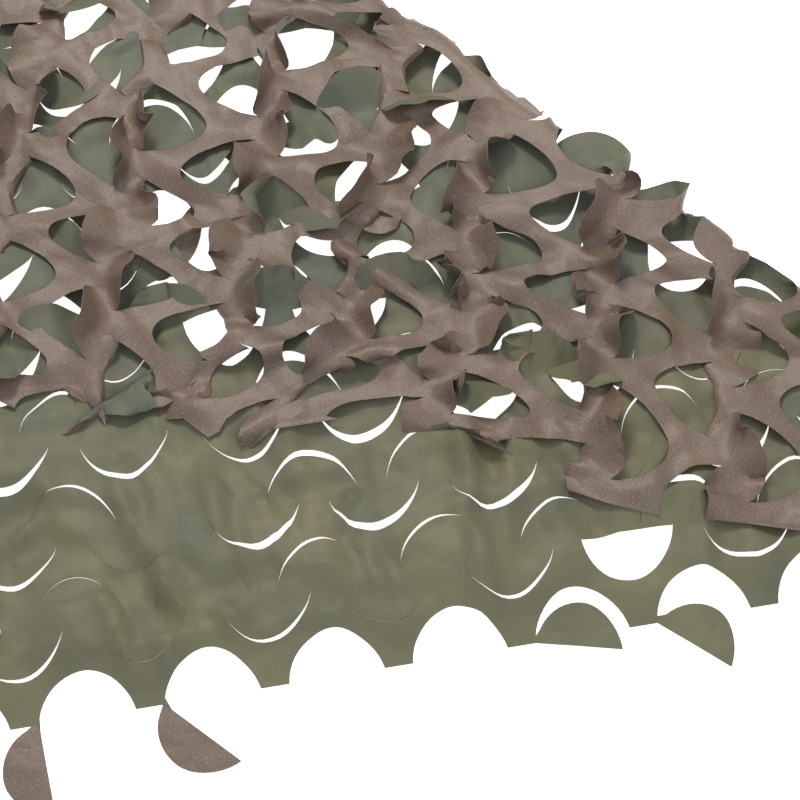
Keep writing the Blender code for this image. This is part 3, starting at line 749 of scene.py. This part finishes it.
# the cloth's threads, its paler patches and its fine wrinkles: how many to a metre, how finely each is
# broken up, and which part of it shows
weave = {
    "thread": 1500.0, "threadDetail": 1.0, "run": 420.0,
    "fleckRange": (0.54, 0.66), "darkRange": (0.34, 0.5),
    "patch": 11.0, "patchDetail": 3.0, "patchRange": (0.32, 0.62),
    "wrinkle": 45.0, "wrinkleDetail": 2.0, "wrinkleShare": 1.6,
    "depth": 0.0012,
}
shadedPileFrom, shadedPileTo = 0.20, 0.32  # from the hem into the pile the green face is painted darker and bluer, as painted shade under the upper layer and a painted reflection of the bluish sky; the brown face hardly changes
# creases pressed into the cloth: the broad ones and the small ones, with sharp backs
pressed = {"broad": 13.0, "broadHeight": 0.008, "small": 34.0, "smallHeight": 0.0026, "detail": 1.5}


def link(tree, start, end):
    tree.links.new(start, end)


def addNoise(tree, where, scale, detail, stretch=(1, 1, 1)):
    turned = tree.nodes.new("ShaderNodeMapping")
    turned.inputs["Scale"].default_value = [scale * part for part in stretch]
    link(tree, where, turned.inputs["Vector"])
    made = tree.nodes.new("ShaderNodeTexNoise")
    made.inputs["Scale"].default_value = 1.0
    made.inputs["Detail"].default_value = detail
    link(tree, turned.outputs["Vector"], made.inputs["Vector"])
    return made.outputs["Fac"]


def addRange(tree, value, fromRange, toRange):
    made = tree.nodes.new("ShaderNodeMapRange")
    for name, number in zip(("From Min", "From Max", "To Min", "To Max"), (*fromRange, *toRange)):
        made.inputs[name].default_value = number
    link(tree, value, made.inputs["Value"])
    return made.outputs["Result"]


def addMix(tree, blend, factor, first, second):
    made = tree.nodes.new("ShaderNodeMix")
    made.data_type = "RGBA"
    made.blend_type = blend
    for name, value in (("Factor", factor), ("A", first), ("B", second)):
        if isinstance(value, (float, tuple)):
            made.inputs[name].default_value = value
        else:
            link(tree, value, made.inputs[name])
    return made.outputs["Result"]


def addMath(tree, operation, first, second):
    made = tree.nodes.new("ShaderNodeMath")
    made.operation = operation
    for at, value in enumerate((first, second)):
        if isinstance(value, float):
            made.inputs[at].default_value = value
        else:
            link(tree, value, made.inputs[at])
    return made.outputs["Value"]


def addCreases(tree, where):
    # the height of the creases, which meet in sharp lines
    total = None
    for scale, height in (("broad", "broadHeight"), ("small", "smallHeight")):
        bent = addMath(tree, "SUBTRACT", addNoise(tree, where, pressed[scale], pressed["detail"]), 0.5)
        bent = addMath(tree, "MULTIPLY", addMath(tree, "ABSOLUTE", bent, 0.0), pressed[height])
        total = addMath(tree, "ADD", bent, total or 0.0)
    made = tree.nodes.new("ShaderNodeBump")
    made.inputs["Strength"].default_value = 1.0
    made.inputs["Distance"].default_value = 1.0
    link(tree, total, made.inputs["Height"])
    return made.outputs["Normal"]


def clothFinish(name, finish):
    made = bpy.data.materials.new(name)
    made.use_nodes = True
    tree = made.node_tree
    shader = tree.nodes["Principled BSDF"]
    shader.inputs["Roughness"].default_value = finish["roughness"]
    shader.inputs["Specular IOR Level"].default_value = finish["specular"]
    cloth = tree.nodes.new("ShaderNodeUVMap")
    cloth.uv_map = "cloth"
    where = cloth.outputs["UV"]
    # threads run both ways, and the coating lies over them in flecks
    run = weave["run"] / weave["thread"]
    warpThreads = addNoise(tree, where, weave["thread"], weave["threadDetail"], (1, run, 1))
    weftThreads = addNoise(tree, where, weave["thread"], weave["threadDetail"], (run, 1, 1))
    threads = addMath(tree, "MULTIPLY", addMath(tree, "ADD", warpThreads, weftThreads), 0.5)
    patchy = addNoise(tree, where, weave["patch"], weave["patchDetail"])
    patches = addRange(tree, patchy, weave["patchRange"], (0.0, 1.0))
    outer = addMix(tree, "MIX", patches, (*finish["shade"], 1.0), (*finish["colour"], 1.0))
    # the same patches in the pile's colours, painted darker and bluer on the green face as painted shade
    # and a painted sky reflection
    shadedPile = addMix(tree, "MIX", patches, (*finish["shadedPileShade"], 1.0), (*finish["shadedPileColour"], 1.0))
    apart = tree.nodes.new("ShaderNodeSeparateXYZ")
    link(tree, where, apart.inputs["Vector"])
    # blends from the hem's colours into the pile's painted shade, by the cloth's V coordinate
    intoShadedPile = addRange(tree, apart.outputs["Y"], (shadedPileFrom, shadedPileTo), (0.0, 1.0))
    base = addMix(tree, "MIX", intoShadedPile, outer, shadedPile)
    flecks = addRange(tree, threads, weave["fleckRange"], (0.0, finish["fleckShare"]))
    flecked = addMix(tree, "MIX", flecks, base, (*finish["fleck"], 1.0))
    darker = addRange(tree, threads, weave["darkRange"], (1 - finish["speckle"], 1.0))
    tinted = addMix(tree, "MULTIPLY", 1.0, flecked, darker)
    link(tree, tinted, shader.inputs["Base Color"])
    wrinkles = addNoise(tree, where, weave["wrinkle"], weave["wrinkleDetail"])
    height = addMath(tree, "ADD", addMath(tree, "MULTIPLY", wrinkles, weave["wrinkleShare"]), threads)
    bump = tree.nodes.new("ShaderNodeBump")
    bump.inputs["Strength"].default_value = finish["bump"]
    bump.inputs["Distance"].default_value = weave["depth"]
    link(tree, height, bump.inputs["Height"])
    link(tree, addCreases(tree, where), bump.inputs["Normal"])
    link(tree, bump.outputs["Normal"], shader.inputs["Normal"])
    return made


# the cloth takes up its own length again, with its folds and its rolled leaves kept
drape = {
    "rounds": 240, "webBend": 0.5, "leafBend": 0.8,
    "calm": 0.6, "calmRounds": 4,  # how far the moves of neighbouring points are evened out
    "body": 0.10,  # how far the cloth keeps to the shape it was laid in, over short lengths
    "hold": 0.01, "holdUp": 0.002, "sink": 0.00002,
    "clear": 0.0050, "leafClear": 0.001,  # how far the upper layer and its leaves keep off what is below
    "keepMoving": 0.9, "overshoot": 2.2,
    "freeFrom": 0.05,  # how far past the bend the cloth moves freely
}


def settleCloth(mesh):
    flat = mesh.verts.layers.float_vector["flat"]
    loose = mesh.verts.layers.float["loose"]
    moved = [vert for vert in mesh.verts if pastFold(vert[flat].x, vert[flat].y) > 0]
    number = {vert: n for n, vert in enumerate(moved)}
    laid = np.array([vert.co for vert in moved])
    cutOut = np.array([vert[flat] for vert in moved])
    onLeaf = np.array([vert[loose] > 0.5 for vert in moved])
    past = np.array([pastFold(vert[flat].x, vert[flat].y) for vert in moved])
    held = [edge for edge in mesh.edges if all(vert in number for vert in edge.verts)]
    edges = np.array([[number[vert] for vert in edge.verts] for edge in held])
    across = []
    for edge in held:
        tips = [vert for face in edge.link_faces for vert in face.verts if vert not in edge.verts]
        if len(tips) == 2 and all(vert in number for vert in tips):
            across.append([number[vert] for vert in tips])
    across = np.array(across)

    def lengths(places, pairs):
        return np.linalg.norm(places[pairs[:, 1]] - places[pairs[:, 0]], axis=1)

    def gather(ends, vectors):
        return np.stack([np.bincount(ends, vectors[:, axis], len(laid)) for axis in range(3)], 1)

    def evened(vectors, part):
        near = gather(edgeEnds, np.concatenate([vectors[edges[:, 1]], vectors[edges[:, 0]]])) / links
        return vectors + (near - vectors) * part

    isWeb = ~onLeaf[across].any(axis=1) & (past[across].min(axis=1) > drape["freeFrom"])
    pairs = np.concatenate([edges, across])
    restAcross = np.where(isWeb, lengths(cutOut, across), lengths(laid, across))
    rest = np.concatenate([lengths(cutOut, edges), restAcross])
    stiff = np.concatenate([np.ones(len(edges)), np.where(isWeb, drape["webBend"], drape["leafBend"])])
    ends = np.concatenate([pairs[:, 0], pairs[:, 1]])
    edgeEnds = np.concatenate([edges[:, 0], edges[:, 1]])
    links = np.bincount(edgeEnds, minlength=len(laid)).clip(1)[:, None]
    shares = (drape["overshoot"] / np.bincount(ends, minlength=len(laid)).clip(1))[:, None]
    ease = np.clip((past - foldHalf) / drape["freeFrom"], 0, 1)
    free = (ease * ease * (3 - 2 * ease))[:, None]
    hold = np.where(onLeaf[:, None], 0.0, np.array([drape["hold"], drape["hold"], drape["holdUp"]]))
    sink = np.where(onLeaf, 0.0, drape["sink"])
    below = np.array([0.0 if leaf else lowerHeight(x, y) for leaf, (x, y, _) in zip(onLeaf, laid)])
    lowest = np.minimum(below + drape["clear"], np.where(onLeaf, drape["leafClear"], laid[:, 2]))
    places = laid.copy()
    moving = np.zeros_like(laid)
    for _ in range(drape["rounds"]):
        before = places
        apart = places[pairs[:, 1]] - places[pairs[:, 0]]
        length = np.linalg.norm(apart, axis=1).clip(1e-9)
        pull = apart * (stiff * (length - rest) / length / 2)[:, None]
        moving = gather(ends, np.concatenate([pull, -pull])) * shares + moving * drape["keepMoving"]
        for _ in range(drape["calmRounds"]):
            moving = evened(moving, drape["calm"])
        places = laid + evened(places + moving - laid, drape["body"])
        places[:, 2] -= sink
        places += (laid - places) * hold
        places[:, 2] = np.maximum(places[:, 2], lowest)
        places = laid + (places - laid) * free
        moving = places - before
    for vert, place in zip(moved, places):
        vert.co = place


# the cloth's thickness, the shortest edge it keeps and the angle in degrees above which an edge is sharp
cloth = {"thickness": 0.0005, "shortest": 0.0003, "sharp": 50.0}


def makeNet():
    mesh = clothSurface()
    trim(mesh)
    bmesh.ops.dissolve_degenerate(mesh, dist=cloth["shortest"], edges=mesh.edges[:])
    bmesh.ops.triangulate(mesh, faces=mesh.faces[:])
    settleCloth(mesh)
    print("upper layer settled")
    bmesh.ops.translate(mesh, verts=mesh.verts[:], vec=(-pile["centre"][0], -pile["centre"][1], 0))
    flat = mesh.verts.layers.float_vector["flat"]
    uv = mesh.loops.layers.uv.new("cloth")
    area = 0.0
    for face in mesh.faces:
        face.smooth = True
        ends = [vert[flat] for vert in face.verts]
        area += (ends[1] - ends[0]).cross(ends[2] - ends[0]).length / 2
        for loop in face.loops:
            loop[uv].uv = loop.vert[flat].xy
    data = bpy.data.meshes.new("camouflageNet")
    mesh.to_mesh(data)
    mesh.free()
    net = bpy.data.objects.new("camouflageNet", data)
    bpy.context.scene.collection.objects.link(net)
    data.materials.append(clothFinish("green cloth", greenFinish))
    data.materials.append(clothFinish("brown cloth", brownFinish))
    wall = net.modifiers.new("thickness", "SOLIDIFY")
    wall.thickness = cloth["thickness"]
    wall.offset = 0
    wall.material_offset = 1
    wall.material_offset_rim = 1
    bpy.context.view_layer.objects.active = net
    bpy.ops.object.modifier_apply(modifier="thickness")
    bpy.ops.object.select_all(action="DESELECT")
    net.select_set(True)
    bpy.ops.object.shade_smooth_by_angle(angle=math.radians(cloth["sharp"]))
    print("net", len(net.data.polygons), "faces, flat area", round(area, 4))
    return net, area


net, flatArea = makeNet()
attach(net, "root")
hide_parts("net")


# floor, light and camera
stage = {
    "floorSize": 30.0, "floorBelow": 0.0005, "floorColour": (0.92, 0.92, 0.92), "floorGlow": 0.85,
    "floorRoughness": 0.9, "floorSpecular": 0.1,
    "worldColour": (0.86, 0.94, 1.0), "worldStrength": 0.80,
}
lamps = {
    "key": {"place": (-0.45, 1.30, 1.9), "size": 0.60, "power": 31.5, "colour": (1.0, 0.95, 0.88)},
    "fill": {"place": (0.9, -1.2, 2.0), "size": 2.2, "power": 12.0, "colour": (0.95, 0.98, 1.0)},
}
view = {"distance": 2.0, "elevation": 65.0, "radiansAcross": 0.348, "sensor": 36.0}


def aim(thing, target):
    thing.rotation_euler = (Vector(target) - thing.location).to_track_quat("-Z", "Y").to_euler()


def makeStage():
    bpy.ops.mesh.primitive_plane_add(size=stage["floorSize"], location=(0, 0, -stage["floorBelow"]))
    floor = bpy.context.object
    floor.name = "floor"
    paint = bpy.data.materials.new("floor")
    paint.use_nodes = True
    shader = paint.node_tree.nodes["Principled BSDF"]
    shader.inputs["Base Color"].default_value = (*stage["floorColour"], 1)
    shader.inputs["Roughness"].default_value = stage["floorRoughness"]
    shader.inputs["Specular IOR Level"].default_value = stage["floorSpecular"]
    shader.inputs["Emission Color"].default_value = (1, 1, 1, 1)
    shader.inputs["Emission Strength"].default_value = stage["floorGlow"]
    floor.data.materials.append(paint)
    world = bpy.data.worlds.new("studio")
    world.use_nodes = True
    sky = world.node_tree.nodes["Background"]
    sky.inputs["Color"].default_value = (*stage["worldColour"], 1)
    sky.inputs["Strength"].default_value = stage["worldStrength"]
    bpy.context.scene.world = world
    for name, lamp in lamps.items():
        light = bpy.data.lights.new(name, "AREA")
        light.shape = "DISK"
        light.size = lamp["size"]
        light.energy = lamp["power"]
        light.color = lamp["colour"]
        made = bpy.data.objects.new(name, light)
        bpy.context.scene.collection.objects.link(made)
        made.location = lamp["place"]
        aim(made, (0, 0, 0))
    bpy.context.scene.view_settings.view_transform = "Standard"


def makeCamera():
    target = Vector((-pile["centre"][0], -pile["centre"][1], 0))
    angle = math.radians(view["elevation"])
    lens = bpy.data.cameras.new("camera")
    lens.sensor_width = view["sensor"]
    lens.lens = view["sensor"] / view["radiansAcross"]
    camera = bpy.data.objects.new("camera", lens)
    bpy.context.scene.collection.objects.link(camera)
    camera.location = target + Vector((0, -math.cos(angle), math.sin(angle))) * view["distance"]
    aim(camera, target)
    bpy.context.scene.camera = camera


makeStage()
makeCamera()
print("stage and camera made")
